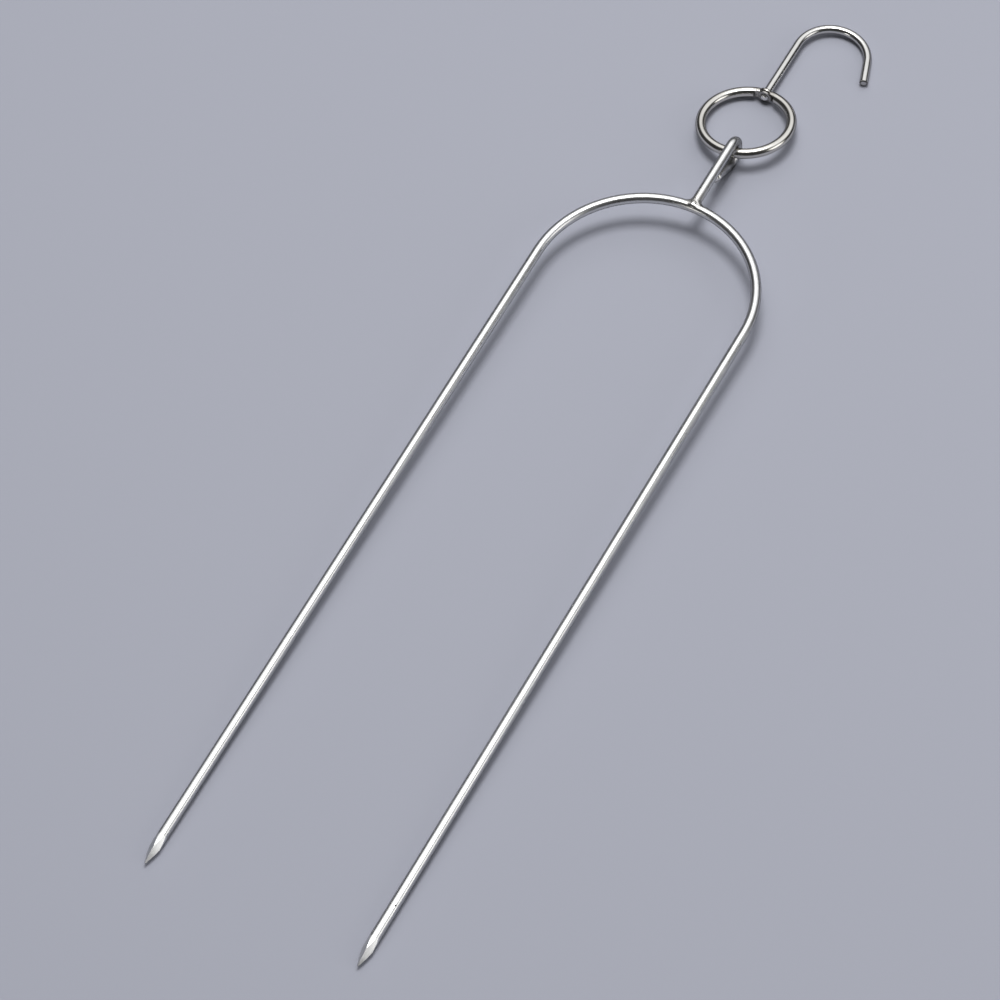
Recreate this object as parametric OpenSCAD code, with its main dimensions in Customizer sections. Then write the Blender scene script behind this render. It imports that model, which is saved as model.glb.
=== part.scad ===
// Duck roasting fork of round stainless rod, lying on a table.
// The prongs point along -Y and the hook along +Y. The table is at z = 0, and the
// origin lies on it under the middle of the whole length.

/* [Prongs] */
// Thickness of the rod that the prongs, shank and eye are bent from
rod_d = 6; // [4:0.5:8]
// Distance between the middles of the two prongs, where they meet the arch
prong_span = 130.5; // [90:0.5:180]
// Length of each prong from the arch to its tip
prong_length = 430.5; // [250:0.5:600]
// How far each tip leans in towards the other
toe_in = 1.8; // [0:0.1:6]
// Length of the ground point on each prong
point_length = 17.5; // [10:0.5:30]
// How far the flats of a point bulge past a straight taper
point_bulge = 0.35; // [0.1:0.05:0.6]
// Width of the blunt end left on each point
tip_flat = 0.5; // [0.3:0.1:1]

/* [Shank and eye] */
// Distance from the rod of the arch to the middle of the eye's bend
shank_length = 48.5; // [35:0.5:90]
// Clear height inside the eye
eye_gap = 10; // [8.5:0.5:14]
// Slope of the eye's return leg, back up to the shank
eye_slope = 29; // [22:1:40]
// Gap between the cut end of the return leg and the shank
eye_end_gap = 0.2; // [0.1:0.05:0.5]

/* [Welds] */
// Radius of the fillet where the shank stands on the arch
fillet_r = 2.8; // [1.5:0.1:4]
// How far that weld stands proud of the rods in front and behind
weld_proud = 0.4; // [0.2:0.1:0.8]
// Step at the edges of that weld
weld_toe = 0.2; // [0.1:0.05:0.4]
// Gap between the shank's square end and the arch, filled by the weld
root_gap = 0.2; // [0.1:0.05:0.5]
// Thickness of the middle bead of the tack that closes the eye
tack_d = 5; // [4:0.2:6]
// Thickness of the bead on each side of it
side_bead_d = 3.8; // [3:0.1:4.5]
// How far the side beads lie from the middle of the tack
side_bead_x = 1.8; // [1.2:0.1:2.4]
// How far the beads lie in front of the leg's cut end, and behind it
tack_step = 0.8; // [0.4:0.1:1.2]
// How far the beads lie above the middle of the cut end
tack_rise = 1; // [0.6:0.1:1.4]

/* [Ring] */
// Thickness of the ring's bar
ring_bar_d = 6; // [4.5:0.5:7]
// Clear width inside the ring
ring_inside_d = 47; // [36:0.5:70]
// Air between the ring's bar and the eye that it hangs in
eye_clearance = 0.3; // [0.2:0.05:0.6]
// How far round the ring has slid through the eye, in degrees
ring_slide = 9; // [0:0.5:20]
// How far the ring is rolled up on its right side, in degrees
ring_roll = 5; // [0:0.5:8]

/* [Pad, rivet and washer] */
// Thickness of the flat round pad pressed into the ring
pad_t = 3; // [2:0.25:4]
// Width of the pad round its hole
pad_rim = 2.7; // [2:0.1:4]
// Length of thin bar left between the pad and each shoulder
pad_neck = 1.6; // [1.5:0.1:3]
// How far the thin bar lies below the faces of the pad
neck_step = 0.15; // [0.1:0.05:0.4]
// Radius of the shoulders where the ring's full bar begins
shoulder_r = 2.8; // [2:0.1:4]
// Gap between the rivet and its hole, all round
rivet_gap = 0.08; // [0.05:0.01:0.1]
// Step from the hook's rod down to the rivet
rivet_step = 0.5; // [0.3:0.05:0.8]
// Play along the rivet, shared by its two ends
rivet_play = 0.3; // [0.1:0.05:0.6]
// Thickness of the washer under the rivet's head
washer_t = 0.9; // [0.5:0.1:1.5]
// Width of the washer round its hole
washer_rim = 2.2; // [1.3:0.1:2.6]
// How far the peened head spreads past the rivet
head_spread = 0.8; // [0.5:0.1:1.2]
// Height of the peened head
head_h = 1.5; // [1:0.1:1.8]

/* [Hook] */
// Thickness of the hook's rod
hook_rod_d = 5; // [4:0.5:6]
// Straight length of the hook from its shoulder to its bow
hook_shank = 41.5; // [20:0.5:80]
// Clear width inside the bow
bow_inside_d = 38; // [24:0.5:60]
// How far round the bow turns, in degrees
bow_turn = 162; // [120:1:180]
// Straight length after the bow
hook_end = 16.2; // [8:0.1:30]
// Chamfer round the cut end of the hook
end_chamfer = 0.5; // [0.2:0.1:1]

/* [Hidden] */
$fn = 48;

// Rods
rod_r = rod_d / 2;
arch_r = prong_span / 2;
toe = asin(toe_in / prong_length);
arch_turn = 180 + 2 * toe;
round_length = prong_length - point_length;

// A flat of the point is an arc through its two ends
point_fall = rod_r - tip_flat / 2;
flat_chord = norm([point_length, point_fall]);
flat_r = flat_chord ^ 2 / (8 * point_bulge) + point_bulge / 2;
flat_lean = atan(point_fall / point_length);
flat_depth = flat_r - point_bulge;
flat_mid_z = point_length / 2 - flat_depth * sin(flat_lean);
flat_mid_x = (rod_r + tip_flat / 2) / 2 - flat_depth * cos(flat_lean);
// The four ridges begin where two flats meet on the rod's surface
ridge_start = flat_mid_z + sqrt(flat_r ^ 2 - (rod_r / sqrt(2) - flat_mid_x) ^ 2);

// Shank and eye, in the fork's own plane: y from the arch's middle, z square to the plane
foot_y = arch_r + rod_r + root_gap;
collar_r = rod_r + fillet_r + weld_toe;
eye_y = arch_r + shank_length;
bend_r = (eye_gap + rod_d) / 2;
eye_turn = 180 + eye_slope;
leg_start = bend_r * (1 + cos(eye_slope));
leg_end = rod_r + eye_end_gap + rod_r * cos(eye_slope);
leg_length = (leg_start - leg_end) / sin(eye_slope);
leg_end_y = eye_y - bend_r * sin(eye_slope) - leg_length * cos(eye_slope);

// The fork rests on the underside of the eye and on its prongs, where their lower ridges begin
heel_run = arch_r * sin(toe) + (round_length + ridge_start) * cos(toe);
rest_span = eye_y + heel_run;
rest_rise = bend_r - rod_r;
fork_tilt = asin((bend_r + rod_r) / norm([rest_span, rest_rise])) + atan(rest_rise / rest_span);
arch_z = heel_run * sin(fork_tilt) + rod_r * cos(fork_tilt);

// The ring is pulled out straight, so its bar lies at the far side of the eye's bend
bar_r = ring_bar_d / 2;
ring_r = (ring_inside_d + ring_bar_d) / 2;
bar_play = eye_gap / 2 - bar_r - eye_clearance;
bar_y = eye_y * cos(fork_tilt) + bend_r * sin(fork_tilt) + bar_play;
bar_z = bend_r + rod_r;

// Rivet, pad and head
hook_r = hook_rod_d / 2;
rivet_r = hook_r - rivet_step;
hole_r = rivet_r + rivet_gap;
pad_r = hole_r + pad_rim;
washer_r = hole_r + washer_rim;
head_r = rivet_r + head_spread;
head_ball_r = (head_r ^ 2 + head_h ^ 2) / (2 * head_h);
shoulder_y = pad_t / 2 + rivet_play / 2;
head_y = -pad_t / 2 - washer_t - rivet_play / 2;
neck_end = pad_r + pad_neck;

// The ring leans down from the eye until the rim of its pad touches the table
lean_run = ring_r * (1 + cos(ring_slide));
lean_side = ring_r * sin(ring_slide) * sin(ring_roll);
ring_lean = asin((bar_z - pad_r) / norm([lean_run, lean_side])) - atan(lean_side / lean_run);
bar_spot = [ring_r * sin(ring_slide), -ring_r * cos(ring_slide), 0];
ring_at = [0, bar_y, bar_z] - turned(bar_spot);
pad_at = ring_at + turned([0, ring_r, 0]);

// The hook runs level from the pad and rolls down until its end touches the table
bow_r = (bow_inside_d + hook_rod_d) / 2;
bow_y = shoulder_y + hook_shank;
hook_reach = bow_r * (1 - cos(bow_turn)) + hook_end * sin(bow_turn);
hook_roll = asin((pad_r - hook_r) / hook_reach);

// Ends of the whole object along y, before it is centred on the origin
low_y = -(arch_r * sin(toe) + prong_length * cos(toe)) * cos(fork_tilt);
high_y = pad_at.y + bow_y + bow_r + hook_r;
mid_y = (low_y + high_y) / 2;

steel = [0.78, 0.78, 0.77];
ring_steel = [0.72, 0.71, 0.68];
weld_steel = [0.62, 0.61, 0.6];

// A point of the ring, from the ring's own plane to the table's axes
function turned(p) = about_x(about_y(p, -ring_roll), -ring_lean);
function about_x(p, a) = [p.x, p.y * cos(a) - p.z * sin(a), p.y * sin(a) + p.z * cos(a)];
function about_y(p, a) = [p.x * cos(a) + p.z * sin(a), p.y, p.z * cos(a) - p.x * sin(a)];

// Children are drawn in the fork's plane, whose x and y start at the middle of the arch
module in_fork() {
    translate([0, -mid_y, arch_z])
        rotate([fork_tilt, 0, 0])
            children();
}

// Children are drawn in the ring's plane, round its middle, with the pad on the +Y side
module in_ring() {
    translate(ring_at - [0, mid_y, 0])
        rotate([-ring_lean, 0, 0])
            rotate([0, -ring_roll, 0])
                children();
}

// Children are drawn round the middle of the pad, with the hook's axis along +Y.
// The pad leans out of the ring's plane by the ring's own lean, so that the hook lies level.
module in_pad() {
    translate([0, ring_r, 0])
        rotate([0, ring_roll, 0])
            rotate([ring_lean, 0, 0])
                rotate([0, -ring_roll, 0])
                    children();
}

module in_hook() {
    translate(pad_at - [0, mid_y, 0])
        children();
}

module along_y() {
    rotate([-90, 0, 0])
        children();
}

// Full ring of round rod in the xy plane, with finer steps round the long way
module rod_ring(middle_r, thick_r) {
    rotate_extrude($fn = 192)
        translate([middle_r, 0])
            circle(thick_r);
}

// Half of all space, past one end of a bend. Side is 1 or -1.
module past_end(turn, side, size) {
    rotate([0, 0, side * turn / 2])
        translate([-size, side > 0 ? 0 : -2 * size, -size])
            cube(2 * size);
}

// Bend of round rod round the z axis, with its middle on the x axis.
// Its ends are cut by planes that turn with what joins them, so the round ends match exactly.
module bend(middle_r, thick_r, turn) {
    size = middle_r + 2 * thick_r;
    difference() {
        rotate([0, 0, turn / 2])
            rotate([0, 0, 90])
                rod_ring(middle_r, thick_r);
        if (turn > 180)
            intersection() {
                past_end(turn, 1, size);
                past_end(turn, -1, size);
            }
        else {
            past_end(turn, 1, size);
            past_end(turn, -1, size);
        }
    }
}

// Children are drawn at one end of such a bend, with the rod going on along +z
module at_end(middle_r, turn, side) {
    rotate([0, 0, side * turn / 2])
        translate([middle_r, 0, 0])
            rotate([-90 * side, 0, 0])
                children();
}

// One pair of opposite flats: a lens-shaped bar whose edges pass through shoulder and tip
module point_flats() {
    rotate([-90, 0, 0])
        linear_extrude(2 * rod_d, center = true)
            intersection() {
                translate([flat_mid_x, -flat_mid_z])
                    circle(flat_r, $fn = 720);
                translate([-flat_mid_x, -flat_mid_z])
                    circle(flat_r, $fn = 720);
            }
}

// Four-sided ground point along +z, with a ridge on top and underneath
module prong_point() {
    intersection() {
        cylinder(h = point_length, r = rod_r);
        rotate([0, 0, 45])
            point_flats();
        rotate([0, 0, -45])
            point_flats();
    }
}

// Straight prong along +z, from the end of the arch to its tip
module prong() {
    cylinder(h = round_length, r = rod_r);
    translate([0, 0, round_length])
        prong_point();
}

module fork_rod() {
    color(steel)
        in_fork()
            rotate([0, 0, 90]) {
                bend(arch_r, rod_r, arch_turn);
                for (side = [-1, 1])
                    at_end(arch_r, arch_turn, side)
                        prong();
            }
}

// Shank, bend and return leg of the second rod, drawn from the middle of the bend
module hanger_path() {
    translate([0, eye_y, -bend_r])
        rotate([0, -90, 0])
            rotate([0, 0, eye_turn / 2]) {
                bend(bend_r, rod_r, eye_turn);
                at_end(bend_r, eye_turn, -1)
                    cylinder(h = eye_y - foot_y, r = rod_r);
                at_end(bend_r, eye_turn, 1)
                    cylinder(h = leg_length, r = rod_r);
            }
}

module hanger_rod() {
    color(steel)
        in_fork()
            hanger_path();
}

// Concave collar round the foot of the shank, from the middle of the arch's rod upwards
module fillet_collar() {
    rotate_extrude()
        difference() {
            square(collar_r);
            translate([collar_r, collar_r])
                circle(fillet_r);
        }
}

// Lens that lets the collar swell a little in front of the rods and fade into them.
// It lies in the fork's plane, and its poles point along the arch.
module weld_swell() {
    swell_h = rod_r + weld_proud;
    swell_rim = norm([collar_r, rod_r / 2]) + 2 * weld_toe;
    ball_r = (swell_rim ^ 2 + swell_h ^ 2) / (2 * swell_h);
    translate([0, rod_r / 2, 0])
        intersection() {
            translate([0, 0, swell_h - ball_r])
                rotate([0, 90, 0])
                    sphere(ball_r, $fn = 192);
            translate([0, 0, ball_r - swell_h])
                rotate([0, -90, 0])
                    sphere(ball_r, $fn = 192);
        }
}

module shank_weld() {
    color(weld_steel)
        in_fork()
            difference() {
                translate([0, arch_r, 0])
                    intersection() {
                        along_y()
                            fillet_collar();
                        weld_swell();
                    }
                rod_ring(arch_r, rod_r);
                hanger_path();
            }
}

// Three beads of weld run together at the cut end of the return leg, with their poles across it
module eye_weld() {
    color(weld_steel)
        in_fork()
            difference() {
                translate([0, leg_end_y, tack_rise - leg_end]) {
                    translate([0, -tack_step, 0])
                        rotate([0, 90, 0])
                            sphere(tack_d / 2);
                    for (side = [-1, 1])
                        translate([side * side_bead_x, tack_step, 0])
                            rotate([0, 90, 0])
                                sphere(side_bead_d / 2);
                }
                hanger_path();
            }
}

// Space cleared on one side of the pad, with round corners that leave round shoulders.
// It reaches from just under the pad's face outwards along +Y.
module pad_relief() {
    face_y = pad_t / 2 - neck_step;
    corner_x = neck_end - shoulder_r;
    corner_y = face_y + shoulder_r;
    linear_extrude(2 * ring_bar_d, center = true) {
        translate([-corner_x, face_y])
            square([2 * corner_x, ring_bar_d]);
        translate([-neck_end, corner_y])
            square([2 * neck_end, ring_bar_d]);
        for (side = [-1, 1])
            translate([side * corner_x, corner_y])
                circle(shoulder_r);
    }
}

// Round pad with a full round rim, its axis along y
module pad_disc() {
    rim = pad_t / 2;
    rotate([90, 0, 0])
        rotate_extrude() {
            translate([0, -rim])
                square([pad_r - rim, pad_t]);
            intersection() {
                translate([pad_r - rim, 0])
                    circle(rim);
                translate([0, -rim])
                    square([pad_r, pad_t]);
            }
        }
}

module ring() {
    color(ring_steel)
        in_ring()
            difference() {
                union() {
                    difference() {
                        rotate([0, 0, 90])
                            rod_ring(ring_r, bar_r);
                        in_pad() {
                            pad_relief();
                            mirror([0, 1, 0])
                                pad_relief();
                        }
                    }
                    in_pad()
                        pad_disc();
                }
                in_pad()
                    rotate([90, 0, 0])
                        cylinder(h = 2 * pad_t, r = hole_r, center = true);
            }
}

module rivet_washer() {
    color(weld_steel)
        in_ring()
            in_pad()
                translate([0, -pad_t / 2, 0])
                    rotate([90, 0, 0])
                        difference() {
                            cylinder(h = washer_t, r = washer_r);
                            translate([0, 0, -washer_t])
                                cylinder(h = 3 * washer_t, r = hole_r);
                        }
}

// Rivet with a low dome at its end. It runs a little way into the dome and into the hook's rod.
module rivet() {
    translate([0, head_y, 0]) {
        intersection() {
            translate([0, head_ball_r - head_h, 0])
                sphere(head_ball_r);
            rotate([90, 0, 0])
                cylinder(h = 2 * head_h, r = 2 * head_r);
        }
        translate([0, -head_h / 2, 0])
            along_y()
                cylinder(h = shoulder_y - head_y + head_h, r = rivet_r);
    }
}

module hook() {
    color(steel)
        in_hook() {
            rivet();
            rotate([0, hook_roll, 0])
                translate([bow_r, bow_y, 0])
                    rotate([0, 0, 180 - bow_turn / 2]) {
                        bend(bow_r, hook_r, bow_turn);
                        at_end(bow_r, bow_turn, 1)
                            cylinder(h = hook_shank, r = hook_r);
                        at_end(bow_r, bow_turn, -1)
                            cut_end();
                    }
        }
}

// Last straight of the hook along +z, with a chamfer round its cut end
module cut_end() {
    cylinder(h = hook_end - end_chamfer, r = hook_r);
    translate([0, 0, hook_end - end_chamfer])
        cylinder(h = end_chamfer, r1 = hook_r, r2 = hook_r - end_chamfer);
}

fork_rod();
hanger_rod();
shank_weld();
eye_weld();
ring();
rivet_washer();
hook();
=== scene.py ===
from math import cos, radians, sin
import bpy
import numpy as np
from mathutils import Matrix, Quaternion, Vector


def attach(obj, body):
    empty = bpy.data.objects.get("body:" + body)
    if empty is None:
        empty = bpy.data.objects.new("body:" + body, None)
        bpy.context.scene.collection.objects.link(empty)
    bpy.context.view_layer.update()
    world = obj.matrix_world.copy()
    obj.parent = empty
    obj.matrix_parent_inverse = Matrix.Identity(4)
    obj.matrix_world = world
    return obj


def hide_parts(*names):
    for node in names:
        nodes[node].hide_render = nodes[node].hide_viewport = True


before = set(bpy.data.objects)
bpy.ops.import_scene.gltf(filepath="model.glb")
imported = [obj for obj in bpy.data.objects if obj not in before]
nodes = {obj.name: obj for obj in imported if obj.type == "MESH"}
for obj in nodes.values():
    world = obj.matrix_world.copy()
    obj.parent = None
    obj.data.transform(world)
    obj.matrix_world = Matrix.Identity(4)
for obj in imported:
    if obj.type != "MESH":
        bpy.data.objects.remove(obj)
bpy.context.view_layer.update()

mm = 0.001

print("camera")

cameraSettings = {
    "aim": (-8.5, -52.5, 0),  # point of the table in the middle of the picture, mm
    "turn": 33.27,            # round the object, 0 looks along +Y
    "height": 56.62,          # above the table, degrees
    "roll": -5.4,
    "distance": 1917.4,       # mm
    "lens": 126,
}


def direction(turn, height):
    # unit vector from the object towards something at that turn and height
    a, e = radians(turn), radians(height)
    return Vector((sin(a) * cos(e), -cos(a) * cos(e), sin(e)))


def makeCamera(s):
    data = bpy.data.cameras.new("camera")
    data.lens = s["lens"]
    data.sensor_width = 36
    data.clip_start, data.clip_end = 0.05, 50
    camera = bpy.data.objects.new("camera", data)
    back = direction(s["turn"], s["height"])
    camera.location = (Vector(s["aim"]) + back * s["distance"]) * mm
    camera.rotation_mode = "QUATERNION"
    rolled = Quaternion((0, 0, 1), radians(s["roll"]))
    camera.rotation_quaternion = (-back).to_track_quat("-Z", "Y") @ rolled
    bpy.context.scene.collection.objects.link(camera)
    bpy.context.scene.camera = camera


makeCamera(cameraSettings)
bpy.context.scene.view_settings.view_transform = "Standard"

print("shader groups")


def put(tree, kind, inputs=None, **settings):
    # adds a node; inputs are plain values or the sockets that feed them
    node = tree.nodes.new(kind)
    for name, value in settings.items():
        setattr(node, name, value)
    for key, value in (inputs or {}).items():
        if isinstance(value, bpy.types.NodeSocket):
            tree.links.new(value, node.inputs[key])
        else:
            node.inputs[key].default_value = value
    return node


def maths(tree, operation, a, b=0.0, c=0.0):
    return put(tree, "ShaderNodeMath", {0: a, 1: b, 2: c}, operation=operation).outputs[0]


def vectorMaths(tree, operation, a, b):
    return put(tree, "ShaderNodeVectorMath", {0: a, 1: b}, operation=operation).outputs[0]


def stretched(tree, vector, x, y, z):
    return vectorMaths(tree, "MULTIPLY", vector, (x, y, z))


def remap(tree, value, fromLow, fromHigh, toLow=0.0, toHigh=1.0):
    node = put(tree, "ShaderNodeMapRange", {"Value": value, "From Min": fromLow, "From Max": fromHigh,
                                            "To Min": toLow, "To Max": toHigh})
    return node.outputs[0]


def noise(tree, vector, scale, detail=2.0, roughness=0.5):
    return put(tree, "ShaderNodeTexNoise", {"Vector": vector, "Scale": scale, "Detail": detail,
                                            "Roughness": roughness}).outputs["Fac"]


def newGroup(name, inputs, outputs):
    tree = bpy.data.node_groups.new(name, "ShaderNodeTree")
    for socketName, kind, value in inputs:
        socket = tree.interface.new_socket(socketName, in_out="INPUT", socket_type="NodeSocket" + kind)
        if value is not None:
            socket.default_value = value
    for socketName, kind in outputs:
        tree.interface.new_socket(socketName, in_out="OUTPUT", socket_type="NodeSocket" + kind)
    return tree, put(tree, "NodeGroupInput").outputs, put(tree, "NodeGroupOutput").inputs


def useGroup(tree, group, **inputs):
    node = tree.nodes.new("ShaderNodeGroup")
    node.node_tree = group
    for key, value in inputs.items():
        socket = node.inputs[key.replace("_", " ")]
        if isinstance(value, bpy.types.NodeSocket):
            tree.links.new(value, socket)
        else:
            socket.default_value = value
    return node.outputs


def rodSpaceGroup():
    # unrolls a bent rod: x and y go across its section, z runs along it from the top of the bend
    tree, i, o = newGroup("Rod Space",
                          [("Position", "Vector", None), ("Bend Radius", "Float", 20.0),
                           ("Straight Below", "Float", 0.0)],
                          [("Rod Vector", "Vector"), ("Along", "Float")])
    p = put(tree, "ShaderNodeSeparateXYZ", {0: i["Position"]}).outputs
    bendY = maths(tree, "MAXIMUM", p["Y"], i["Straight Below"])
    radial = maths(tree, "SQRT", maths(tree, "ADD", maths(tree, "MULTIPLY", p["X"], p["X"]),
                                       maths(tree, "MULTIPLY", bendY, bendY)))
    across = maths(tree, "SUBTRACT", radial, i["Bend Radius"])
    angle = maths(tree, "ARCTAN2", maths(tree, "ABSOLUTE", p["X"]), bendY)
    along = maths(tree, "ADD", maths(tree, "MULTIPLY", angle, i["Bend Radius"]),
                  maths(tree, "SUBTRACT", bendY, p["Y"]))
    side = maths(tree, "MULTIPLY", maths(tree, "GREATER_THAN", p["X"], 0.0), 900.0)
    vector = put(tree, "ShaderNodeCombineXYZ", {"X": across, "Y": p["Z"],
                                                "Z": maths(tree, "ADD", along, side)}).outputs[0]
    tree.links.new(vector, o["Rod Vector"])
    tree.links.new(along, o["Along"])
    return tree


def drawnLinesGroup():
    # fine lines that drawing and polishing leave along a rod, and broad bands between them
    tree, i, o = newGroup("Drawn Lines",
                          [("Rod Vector", "Vector", None), ("Line Width", "Float", 0.15),
                           ("Line Length", "Float", 18.0)],
                          [("Lines", "Float"), ("Bands", "Float")])
    thin = maths(tree, "DIVIDE", 1.0, i["Line Width"])
    long = maths(tree, "DIVIDE", 1.0, i["Line Length"])
    scale = put(tree, "ShaderNodeCombineXYZ", {"X": thin, "Y": thin, "Z": long}).outputs[0]
    fine = vectorMaths(tree, "MULTIPLY", i["Rod Vector"], scale)
    tree.links.new(noise(tree, fine, 1.0, 3.0, 0.6), o["Lines"])
    broad = stretched(tree, i["Rod Vector"], 0.55, 0.55, 0.022)
    tree.links.new(remap(tree, noise(tree, broad, 1.0, 2.0), 0.3, 0.7), o["Bands"])
    return tree


def speckGroup():
    # a few small round pits, one in each cell that the share picks
    tree, i, o = newGroup("Specks",
                          [("Position", "Vector", None), ("Spacing", "Float", 4.0),
                           ("Size", "Float", 0.15), ("Share", "Float", 0.2)],
                          [("Mask", "Float")])
    cell = put(tree, "ShaderNodeTexVoronoi", {"Vector": i["Position"],
                                              "Scale": maths(tree, "DIVIDE", 1.0, i["Spacing"])})
    distance = maths(tree, "MULTIPLY", cell.outputs["Distance"], i["Spacing"])
    dot = remap(tree, maths(tree, "DIVIDE", distance, i["Size"]), 0.6, 1.0, 1.0, 0.0)
    pick = put(tree, "ShaderNodeSeparateColor", {0: cell.outputs["Color"]}).outputs[0]
    chosen = maths(tree, "LESS_THAN", pick, i["Share"])
    tree.links.new(maths(tree, "MULTIPLY", dot, chosen), o["Mask"])
    return tree


def handlingGroup():
    # soft smudges from hands and cloths, and short straight scratches, one in each cell
    tree, i, o = newGroup("Handling", [("Position", "Vector", None), ("Spacing", "Float", 5.0),
                                       ("Scratch Width", "Float", 0.03)],
                          [("Smudges", "Float"), ("Scratches", "Float")])
    tree.links.new(remap(tree, noise(tree, i["Position"], 0.055, 5.0, 0.6), 0.35, 0.65), o["Smudges"])
    cell = put(tree, "ShaderNodeTexVoronoi", {"Vector": i["Position"],
                                              "Scale": maths(tree, "DIVIDE", 1.0, i["Spacing"])})
    inCell = vectorMaths(tree, "SUBTRACT", i["Position"], cell.outputs["Position"])
    way = put(tree, "ShaderNodeVectorMath",
              {0: vectorMaths(tree, "SUBTRACT", cell.outputs["Color"], (0.5, 0.5, 0.5))},
              operation="NORMALIZE").outputs[0]
    aside = put(tree, "ShaderNodeVectorMath", {0: inCell, 1: way}, operation="DOT_PRODUCT").outputs["Value"]
    line = remap(tree, maths(tree, "DIVIDE", maths(tree, "ABSOLUTE", aside), i["Scratch Width"]), 0.0, 1.0, 1.0, 0.0)
    fade = remap(tree, cell.outputs["Distance"], 0.25, 0.45, 1.0, 0.0)
    pick = put(tree, "ShaderNodeSeparateColor", {0: cell.outputs["Color"]}).outputs[1]
    chosen = maths(tree, "MULTIPLY", maths(tree, "LESS_THAN", pick, 0.3), fade)
    tree.links.new(maths(tree, "MULTIPLY", line, chosen), o["Scratches"])
    return tree


def grindGroup():
    # marks of the belt, square to the rod
    tree, i, o = newGroup("Grind Lines", [("Rod Vector", "Vector", None), ("Line Width", "Float", 0.2)],
                          [("Lines", "Float")])
    scale = put(tree, "ShaderNodeCombineXYZ", {"X": 0.12, "Y": 0.12,
                                               "Z": maths(tree, "DIVIDE", 1.0, i["Line Width"])}).outputs[0]
    fine = vectorMaths(tree, "MULTIPLY", i["Rod Vector"], scale)
    tree.links.new(noise(tree, fine, 1.0, 2.0, 0.7), o["Lines"])
    return tree


def zoneGroup():
    # 1 inside a ball round a point, fading to 0 over its soft edge
    tree, i, o = newGroup("Zone", [("Position", "Vector", None), ("Centre", "Vector", None),
                                   ("Radius", "Float", 4.0), ("Soft", "Float", 1.0)],
                          [("Mask", "Float")])
    distance = put(tree, "ShaderNodeVectorMath", {0: i["Position"], 1: i["Centre"]},
                   operation="DISTANCE").outputs["Value"]
    past = maths(tree, "DIVIDE", maths(tree, "SUBTRACT", distance, i["Radius"]), i["Soft"])
    tree.links.new(remap(tree, past, 0.0, 1.0, 1.0, 0.0), o["Mask"])
    return tree


def hammerGroup():
    # small flat dents, as a hammer or a press tool leaves them
    tree, i, o = newGroup("Hammer Marks", [("Position", "Vector", None), ("Dent Size", "Float", 0.9)],
                          [("Height", "Float")])
    cell = put(tree, "ShaderNodeTexVoronoi", {"Vector": i["Position"], "Smoothness": 0.4,
                                              "Scale": maths(tree, "DIVIDE", 1.0, i["Dent Size"])},
               feature="SMOOTH_F1")
    tree.links.new(cell.outputs["Distance"], o["Height"])
    return tree


rodSpace = rodSpaceGroup()
drawnLines = drawnLinesGroup()
specks = speckGroup()
handling = handlingGroup()
grindLines = grindGroup()
zone = zoneGroup()
hammerMarks = hammerGroup()

print("steel")

# where each rod's bend lies: origin in mm, turns about X and Y in degrees, radius of the bend,
# and the height in its own plane below which the rod is straight
forkPlace = {"origin": (0, 97.7407, 15.594), "tilt": 1.714, "roll": 0, "radius": 65.25, "straight": 0}
eyePlace = {"origin": (0, 211.676, 11.0), "tilt": 1.714, "roll": -90, "radius": 8, "straight": 0}
ringPlace = {"origin": (-4.130, 239.350, 7.729), "tilt": -6.388, "roll": -5, "radius": 26.5, "straight": -900}
padPlace = {"origin": (-4.130, 265.686, 4.780), "tilt": 0, "roll": -5, "radius": 8, "straight": -900}
hookPlace = {"origin": (17.345, 308.836, 3.736), "tilt": 0, "roll": 2.783, "radius": 21.5, "straight": 0}

forkFinish = {
    "colour": (0.72, 0.72, 0.71), "darkColour": (0.56, 0.56, 0.56),
    "roughness": 0.27, "lineWidth": 0.25, "lineLength": 26, "lineDepth": 0.006,
    "scratchSpacing": 7, "scratchWidth": 0.03,
    "speckSpacing": 8.0, "speckSize": 0.28, "speckShare": 0.15,
}
eyeFinish = {
    "colour": (0.72, 0.72, 0.71), "darkColour": (0.54, 0.54, 0.54),
    "roughness": 0.27, "lineWidth": 0.25, "lineLength": 20, "lineDepth": 0.006,
    "scratchSpacing": 6, "scratchWidth": 0.03,
    "speckSpacing": 6.0, "speckSize": 0.28, "speckShare": 0.18,
}
ringFinish = {
    "colour": (0.75, 0.73, 0.69), "darkColour": (0.48, 0.46, 0.42),
    "roughness": 0.16, "lineWidth": 0.12, "lineLength": 8, "lineDepth": 0.003,
    "scratchSpacing": 4, "scratchWidth": 0.025,
    "speckSpacing": 8.0, "speckSize": 0.16, "speckShare": 0.10,
}
hookFinish = {
    "colour": (0.70, 0.69, 0.67), "darkColour": (0.50, 0.49, 0.47),
    "roughness": 0.18, "lineWidth": 0.22, "lineLength": 22, "lineDepth": 0.004,
    "scratchSpacing": 5, "scratchWidth": 0.025,
    "speckSpacing": 8.0, "speckSize": 0.18, "speckShare": 0.10,
}
# painted shade: the washer's colours are kept dark for the shaded floor that it reflects
washerFinish = {
    "colour": (0.46, 0.45, 0.43), "darkColour": (0.26, 0.25, 0.24),
    "roughness": 0.24, "lineWidth": 0.10, "lineLength": 2, "lineDepth": 0.008,
    "scratchSpacing": 2, "scratchWidth": 0.02,
    "speckSpacing": 2.5, "speckSize": 0.12, "speckShare": 0.15,
}
weldFinish = {
    "colour": (0.72, 0.71, 0.69), "darkColour": (0.52, 0.50, 0.47),
    "roughness": 0.28, "lineWidth": 0.6, "lineLength": 1.5, "lineDepth": 0.012,
    "scratchSpacing": 2.5, "scratchWidth": 0.03,
    "speckSpacing": 1.9, "speckSize": 0.22, "speckShare": 0.2,
}


# painted shade: a dark edge tint, so that the steel shows dark outlines where it is seen edge on
edgeTint = (0.2, 0.2, 0.21)   # steel turns darker where it is seen edge on


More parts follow.
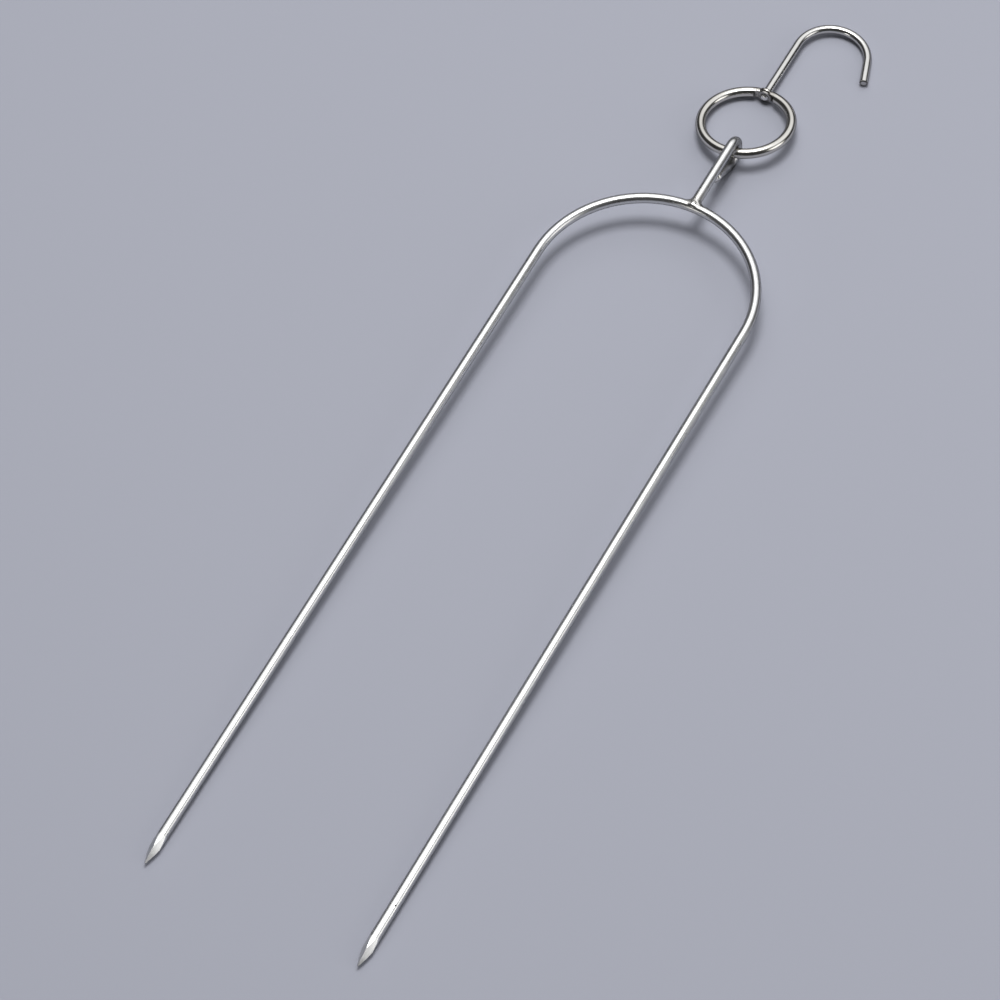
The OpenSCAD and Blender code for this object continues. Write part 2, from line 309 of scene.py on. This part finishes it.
class Steel:
    # one steel material under construction, with the sockets that its zones add to

    def __init__(self, name, place, finish):
        self.material = bpy.data.materials.new(name)
        self.material.use_nodes = True
        self.tree = tree = self.material.node_tree
        tree.nodes.clear()
        turn = Matrix.Rotation(radians(place["tilt"]), 3, "X") @ Matrix.Rotation(radians(place["roll"]), 3, "Y")
        objectPlace = put(tree, "ShaderNodeTexCoord").outputs["Object"]
        millimetres = stretched(tree, objectPlace, 1000, 1000, 1000)
        self.position = put(tree, "ShaderNodeMapping",
                            {"Vector": millimetres, "Location": place["origin"], "Rotation": turn.to_euler()},
                            vector_type="TEXTURE").outputs[0]
        space = useGroup(tree, rodSpace, Position=self.position, Bend_Radius=place["radius"],
                         Straight_Below=place["straight"])
        self.rodVector, self.along = space["Rod Vector"], space["Along"]

        lines = useGroup(tree, drawnLines, Rod_Vector=self.rodVector, Line_Width=finish["lineWidth"],
                         Line_Length=finish["lineLength"])
        hands = useGroup(tree, handling, Position=self.position, Spacing=finish["scratchSpacing"],
                         Scratch_Width=finish["scratchWidth"])
        pits = useGroup(tree, specks, Position=self.position, Spacing=finish["speckSpacing"],
                        Size=finish["speckSize"], Share=finish["speckShare"])["Mask"]

        worn = maths(tree, "MULTIPLY", lines["Lines"], 0.5)
        worn = maths(tree, "MULTIPLY_ADD", lines["Bands"], 0.3, worn)
        self.colour = self.mix(worn, finish["colour"], finish["darkColour"])
        # painted shade: the specks are coloured near black for the shade inside the pits
        self.colour = self.mix(pits, self.colour, (0.05, 0.045, 0.04))
        rough = maths(tree, "MULTIPLY_ADD", lines["Bands"], 0.07, finish["roughness"] - 0.05)
        rough = maths(tree, "MULTIPLY_ADD", hands["Smudges"], 0.06, rough)
        rough = maths(tree, "MULTIPLY_ADD", hands["Scratches"], 0.15, rough)
        self.roughness = maths(tree, "MULTIPLY_ADD", pits, 0.4, rough)
        # heights are in mm
        height = maths(tree, "MULTIPLY", lines["Lines"], finish["lineDepth"])
        height = maths(tree, "MULTIPLY_ADD", hands["Scratches"], -0.004, height)
        self.height = maths(tree, "MULTIPLY_ADD", pits, -0.03, height)

    def mix(self, amount, first, second):
        node = put(self.tree, "ShaderNodeMix", data_type="RGBA")
        for socket, value in ((node.inputs[0], amount), (node.inputs[6], first), (node.inputs[7], second)):
            if isinstance(value, bpy.types.NodeSocket):
                self.tree.links.new(value, socket)
            elif socket == node.inputs[0]:
                socket.default_value = value
            else:
                socket.default_value = (*value, 1)
        return node.outputs[2]

    def zone(self, centre, radius, soft):
        # centre is in the rod's own frame, mm
        return useGroup(self.tree, zone, Position=self.position, Centre=centre, Radius=radius, Soft=soft)["Mask"]

    def pastAlong(self, start, soft):
        return remap(self.tree, self.along, start, start + soft)

    def darken(self, mask, colour, amount=1.0):
        self.colour = self.mix(maths(self.tree, "MULTIPLY", mask, amount), self.colour, colour)

    def roughen(self, mask, value):
        change = maths(self.tree, "MULTIPLY", mask, value)
        self.roughness = maths(self.tree, "ADD", self.roughness, change)

    def pit(self, centre, size):
        # painted shade: a pit is coloured near black for the shade inside it, and roughened
        mask = self.zone(centre, size * 0.6, size * 0.4)
        self.darken(mask, (0.02, 0.018, 0.016))
        self.roughen(mask, 0.5)

    def emboss(self, mask, lines, depth):
        shape = maths(self.tree, "MULTIPLY", maths(self.tree, "MULTIPLY", mask, lines), depth)
        self.height = maths(self.tree, "ADD", self.height, shape)

    def finish(self):
        bump = put(self.tree, "ShaderNodeBump", {"Height": self.height, "Distance": mm, "Strength": 1.0})
        shader = put(self.tree, "ShaderNodeBsdfPrincipled",
                     {"Base Color": self.colour, "Metallic": 1.0, "Roughness": self.roughness,
                      "Specular Tint": (*edgeTint, 1), "Normal": bump.outputs[0]})
        out = put(self.tree, "ShaderNodeOutputMaterial")
        self.tree.links.new(shader.outputs[0], out.inputs["Surface"])
        return self.material


def dress(nodeName, material):
    for slot in nodes[nodeName].material_slots:
        slot.material = material


forkSettings = {
    "pointStart": 515.5,   # mm along the rod from the top of the arch to the ground flats
    "grindWidth": 0.35,
    "grindDepth": 0.015,
    "weldTint": (0.55, 0.50, 0.42),
    "pointColour": (0.82, 0.82, 0.81),
    "specks": (((65.0, -393.8, 2.7), 0.6), ((64.4, -404.8, 2.9), 0.4)),
}


def makeForkSteel(s):
    steel = Steel("prong steel", forkPlace, forkFinish)
    ground = steel.pastAlong(s["pointStart"], 0.8)
    marks = useGroup(steel.tree, grindLines, Rod_Vector=steel.rodVector, Line_Width=s["grindWidth"])["Lines"]
    steel.emboss(ground, marks, s["grindDepth"])
    steel.roughen(ground, 0.04)
    steel.darken(ground, s["pointColour"], 0.85)
    for centre, size in s["specks"]:
        steel.pit(centre, size)
    # faint straw colour left by the weld
    steel.darken(steel.zone((0, 65.25, 0), 4.0, 5.0), s["weldTint"], 0.25)
    return steel.finish()


def makeEyeSteel():
    steel = Steel("eye steel", eyePlace, eyeFinish)
    steel.darken(steel.zone((8, -45.5, 0), 4.0, 5.0), forkSettings["weldTint"], 0.25)
    # painted shade: the return leg is coloured dark where it lies in the shank's shadow, and made a little rougher
    for centre in ((-4.0, -19.0, 0), (-6.5, -12.0, 0), (-8.5, -4.0, 0)):
        paintedLegShade = steel.zone(centre, 3.6, 3.0)
        steel.darken(paintedLegShade, (0.11, 0.105, 0.105), 0.85)
        steel.roughen(paintedLegShade, 0.08)
    # pits at the top of the bend and by the weld
    for centre, size in (((8.2, 6.6, 0.9), 0.5), ((10.95, -43.9, 0.3), 0.5), ((10.8, -44.6, -1.1), 0.4)):
        steel.pit(centre, size)
    return steel.finish()


def makeRingSteel():
    steel = Steel("ring steel", ringPlace, ringFinish)
    pad = steel.zone((0, 26.5, 0), 6.0, 2.5)
    dents = useGroup(steel.tree, hammerMarks, Position=steel.position, Dent_Size=1.3)["Height"]
    steel.emboss(pad, dents, 0.05)
    # painted shade: the pad's colour is darkened for the dark that it reflects
    steel.darken(pad, (0.42, 0.40, 0.37), 0.75)
    steel.roughen(pad, 0.06)
    return steel.finish()


def makeHookSteel():
    steel = Steel("hook steel", hookPlace, hookFinish)
    # the peened head, whose frame starts at the bow's middle
    head = steel.zone((-21.5, -46.5, 0), 3.4, 0.4)
    dents = useGroup(steel.tree, hammerMarks, Position=steel.position, Dent_Size=0.8)["Height"]
    steel.emboss(head, dents, 0.07)
    steel.roughen(head, 0.08)
    # painted highlight: the head's colour is raised so that the dome shows a bright spot
    steel.darken(head, (0.85, 0.84, 0.82), 0.9)
    # the cut end: a bevel painted near black as shade, round a brighter sawn face
    end = steel.zone((26.38, -11.61, 0), 4.15, 0.3)
    face = steel.zone((26.38, -11.61, 0), 3.3, 0.3)
    saw = useGroup(steel.tree, grindLines, Rod_Vector=steel.position, Line_Width=0.25)["Lines"]
    steel.darken(end, (0.10, 0.095, 0.09), 0.9)
    steel.darken(face, (0.62, 0.61, 0.60), 0.9)
    steel.roughen(end, 0.15)
    steel.emboss(face, saw, 0.04)
    return steel.finish()


def makeWasherSteel():
    steel = Steel("washer steel", padPlace, washerFinish)
    return steel.finish()


def makeWeldSteel(s):
    steel = Steel("weld steel", forkPlace, weldFinish)
    # painted highlight: the eye tack's colour is raised so that its bead shows bright
    steel.darken(steel.zone((0, 93.5, -4.8), 5.5, 1.0), (0.90, 0.89, 0.86), 0.85)
    for x, y, size in s["pits"]:
        steel.pit((x, y, frontOf(shankShape, s, x, y)), size * 1.9)
    return steel.finish()


print("welds")

# all in mm in the fork's own plane, whose origin is the middle of the arch
rods = {
    "arch": 65.25, "radius": 3,
    "foot": 68.45,                     # where the shank's square end stands off the arch
    "legStart": (109.87, -14.997), "legEnd": (93.323, -5.824),
    "skinInside": 0.3,                 # how far a weld reaches into the rods
    "tuck": 0.02,                      # how far its faded edge lies under their surface
}
shankWeldSettings = {
    "low": (-9, 61, -4.5), "high": (9, 75, 4.5), "step": 0.14,
    "blend": 3.7,         # reach of the fillet along each rod
    "flatten": 0.4,       # how much less it reaches in front and behind
    "waver": 0.18,        # how unevenly it reaches
    "fade": 2.9,          # how far it runs down the face of the arch
    "toe": 0.2,           # how steeply it runs out there
    "pitDepth": 0.28,
    "pits": ((-1.9, 67.1, 0.32), (-0.7, 67.5, 0.22), (1.1, 67.4, 0.34), (-1.0, 66.1, 0.28),
             (1.4, 66.1, 0.30), (0.2, 66.7, 0.20)),
}
eyeWeldSettings = {
    "low": (-5, 88.5, -9.5), "high": (5, 98, -1), "step": 0.15,
    "beads": ((0, 92.52, -4.824, 2.5), (-1.8, 94.12, -4.824, 1.9), (1.8, 94.12, -4.824, 1.9)),
    "blend": 0.9,
}


def softMin(a, b, reach):
    near = np.maximum(reach - np.abs(a - b), 0) / reach
    return np.minimum(a, b) - near * near * reach / 4


def lumps(x, y, z, size, height):
    # low uneven waves, the same on every run
    u, v, w = x / size, y / size, z / size
    wave = np.sin(2.1 * u + 1.3 * v + 0.4) * np.sin(1.7 * v - 1.9 * w + 1.1)
    return (wave + np.sin(2.9 * w + 1.1 * u + 2.0) * 0.6) * height


def shankShape(x, y, z, s):
    # distances from the arch and from the shank, which runs out below the middle of the arch
    arch = np.hypot(np.hypot(x, y) - rods["arch"], z) - rods["radius"]
    side = np.hypot(x, z) - rods["radius"]
    below = np.maximum(rods["arch"] - y, 0)
    shank = np.where(below > 0, np.maximum(side, arch) + s["toe"] * below, side)
    bare = np.minimum(arch, np.maximum(side, rods["foot"] - y))
    reach = s["blend"] * (1 - s["flatten"] * np.clip(z / rods["radius"], -1, 1) ** 2)
    reach = reach * (1 + lumps(x, y, z, 1.6, s["waver"]))
    left = np.clip(1 - below / s["fade"], 0, 1)
    skin = softMin(arch, shank, reach * np.maximum(left * left * (3 - 2 * left), 0.01))
    raised = np.clip((np.minimum(arch, shank) - skin) / 0.3, 0, 1)
    skin = skin - lumps(x, y, z, 0.8, 0.03) * raised
    for px, py, size in s["pits"]:
        dent = np.exp(-((x - px) ** 2 + (y - py) ** 2) / size ** 2) * (z > 0)
        skin = skin + dent * s["pitDepth"]
    return skin, bare


def eyeShape(x, y, z, s):
    shank = np.hypot(x, z) - rods["radius"]
    (y0, z0), (y1, z1) = rods["legStart"], rods["legEnd"]
    length = np.hypot(y1 - y0, z1 - z0)
    dy, dz = (y1 - y0) / length, (z1 - z0) / length
    along = (y - y0) * dy + (z - z0) * dz
    side = np.hypot(x, (y - y0) * dz - (z - z0) * dy)
    leg = np.maximum(side - rods["radius"], along - length)
    bare = np.minimum(shank, leg)
    bead = np.full(x.shape, 99.0)
    for px, py, pz, size in s["beads"]:
        ball = np.sqrt((x - px) ** 2 + (y - py) ** 2 + (z - pz) ** 2) - size
        bead = softMin(bead, ball, 0.5)
    skin = softMin(bead - lumps(x, y, z, 0.7, 0.05), bare, s["blend"])
    return skin, bare


def frontOf(shape, s, x, y):
    # height of the skin's upper side over a point of the fork's plane
    z = np.linspace(0, 6, 601)
    skin, bare = shape(np.full(z.shape, x), np.full(z.shape, y), z, s)
    return float(z[skin < 0].max())


def weldSolid(shape, s):
    # from the skin down to a little way inside the rods, and out to where the skin meets them
    def solid(x, y, z):
        skin, bare = shape(x, y, z, s)
        inner = np.maximum(skin + rods["tuck"], -(bare + rods["skinInside"]))
        return np.maximum(inner, (rods["tuck"] / 4 - (bare - skin)) * 3)
    return solid


def netSurface(solid, low, high, step):
    # one corner in each grid cell that the surface passes, one face across each edge that it cuts
    axes = [np.arange(low[k], high[k] + step, step) for k in range(3)]
    grid = np.stack(np.meshgrid(*axes, indexing="ij"), -1)
    f = solid(grid[..., 0], grid[..., 1], grid[..., 2])
    cells = [n - 1 for n in f.shape]

    def corner(values, c):
        return values[c[0]:c[0] + cells[0], c[1]:c[1] + cells[1], c[2]:c[2] + cells[2]]

    total, count = np.zeros((*cells, 3)), np.zeros(cells)
    for axis in range(3):
        others = [k for k in range(3) if k != axis]
        for u in (0, 1):
            for v in (0, 1):
                a, b = [0, 0, 0], [0, 0, 0]
                a[others[0]] = b[others[0]] = u
                a[others[1]] = b[others[1]] = v
                b[axis] = 1
                fa, fb = corner(f, a), corner(f, b)
                cut = (fa < 0) != (fb < 0)
                t = np.where(cut, fa / np.where(cut, fa - fb, 1), 0)[..., None]
                point = corner(grid, a) * (1 - t) + corner(grid, b) * t
                total += point * cut[..., None]
                count += cut
    used = count > 0
    index = np.full(cells, -1)
    index[used] = np.arange(used.sum())
    points = total[used] / count[used][:, None]
    faces = []
    inside = f < 0
    for axis in range(3):
        u, v = (axis + 1) % 3, (axis + 2) % 3
        first = np.take(inside, range(f.shape[axis] - 1), axis)
        second = np.take(inside, range(1, f.shape[axis]), axis)
        for spot in np.argwhere(first != second):
            if min(spot[u], spot[v]) < 1 or spot[u] >= cells[u] or spot[v] >= cells[v]:
                continue
            ring = []
            for du, dv in ((-1, -1), (0, -1), (0, 0), (-1, 0)):
                cell = list(spot)
                cell[u] += du
                cell[v] += dv
                ring.append(int(index[tuple(cell)]))
            faces.append(ring if first[tuple(spot)] else ring[::-1])
    return points, faces


def makeWeld(name, nodeName, shape, s, material):
    points, faces = netSurface(weldSolid(shape, s), s["low"], s["high"], s["step"])
    place = Matrix.Translation(forkPlace["origin"]) @ Matrix.Rotation(radians(forkPlace["tilt"]), 4, "X")
    mesh = bpy.data.meshes.new(name)
    mesh.from_pydata([place @ Vector(p) * mm for p in points], [], faces)
    mesh.materials.append(material)
    mesh.shade_smooth()
    weld = bpy.data.objects.new(name, mesh)
    bpy.context.scene.collection.objects.link(weld)
    soften = weld.modifiers.new("soften", "SMOOTH")
    soften.factor, soften.iterations = 0.5, 2
    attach(weld, "fork")
    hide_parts(nodeName)
    print(name, len(points), "points")


dress("fork_rod", makeForkSteel(forkSettings))
dress("hanger_rod", makeEyeSteel())
dress("ring", makeRingSteel())
dress("hook", makeHookSteel())
dress("rivet_washer", makeWasherSteel())
weldSteel = makeWeldSteel(shankWeldSettings)
makeWeld("shank_fillet", "shank_weld", shankShape, shankWeldSettings, weldSteel)
makeWeld("eye_tack", "eye_weld", eyeShape, eyeWeldSettings, weldSteel)

print("table and light")

studio = {
    "tableColour": (0.38, 0.39, 0.45),
    "tableSize": 30.0,         # metres across
    "skyColour": (0.97, 0.98, 1.0),
    "skyHigh": 1.2,           # brightness of the lit ceiling
    "skyLow": 0.04,            # brightness of the room round it
    "skyTurn": 190, "skyHeight": 62,
    "skyEdge": (0.66, 0.88),   # cosines of the angles between which the ceiling fades out
    # turn and height in degrees, distance and size in metres, power in watts
    "lamps": {
        "key": {"turn": 198, "height": 73, "distance": 2.6, "size": 1.1, "power": 38},
        "side": {"turn": 100, "height": 24, "distance": 2.6, "size": 1.6, "power": 11},
        "front": {"turn": -20, "height": 14, "distance": 2.6, "size": 0.7, "power": 4},
    },
}


def makeTable(s):
    half = s["tableSize"] / 2
    mesh = bpy.data.meshes.new("table")
    mesh.from_pydata([(-half, -half, 0), (half, -half, 0), (half, half, 0), (-half, half, 0)], [], [(0, 1, 2, 3)])
    table = bpy.data.objects.new("table", mesh)
    material = bpy.data.materials.new("table paint")
    material.use_nodes = True
    shader = material.node_tree.nodes["Principled BSDF"]
    shader.inputs["Base Color"].default_value = (*s["tableColour"], 1)
    shader.inputs["Roughness"].default_value = 0.7
    shader.inputs["Specular IOR Level"].default_value = 0.2
    mesh.materials.append(material)
    bpy.context.scene.collection.objects.link(table)


def makeLamp(name, s):
    data = bpy.data.lights.new(name, "AREA")
    data.shape, data.size, data.energy = "DISK", s["size"], s["power"]
    lamp = bpy.data.objects.new(name, data)
    towards = direction(s["turn"], s["height"])
    lamp.location = towards * s["distance"]
    lamp.rotation_mode = "QUATERNION"
    lamp.rotation_quaternion = towards.to_track_quat("Z", "Y")
    lamp.visible_camera = False
    bpy.context.scene.collection.objects.link(lamp)


def makeSky(s):
    world = bpy.data.worlds.new("studio")
    bpy.context.scene.world = world
    world.use_nodes = True
    tree = world.node_tree
    tree.nodes.clear()
    ray = put(tree, "ShaderNodeTexCoord").outputs["Generated"]
    facing = put(tree, "ShaderNodeVectorMath", {0: ray, 1: direction(s["skyTurn"], s["skyHeight"])},
                 operation="DOT_PRODUCT").outputs["Value"]
    level = remap(tree, facing, *s["skyEdge"], s["skyLow"], s["skyHigh"])
    level.node.interpolation_type = "SMOOTHSTEP"
    light = put(tree, "ShaderNodeBackground", {"Color": (*s["skyColour"], 1), "Strength": level})
    out = put(tree, "ShaderNodeOutputWorld")
    tree.links.new(light.outputs[0], out.inputs["Surface"])


makeTable(studio)
for lampName, lampSettings in studio["lamps"].items():
    makeLamp(lampName, lampSettings)
makeSky(studio)
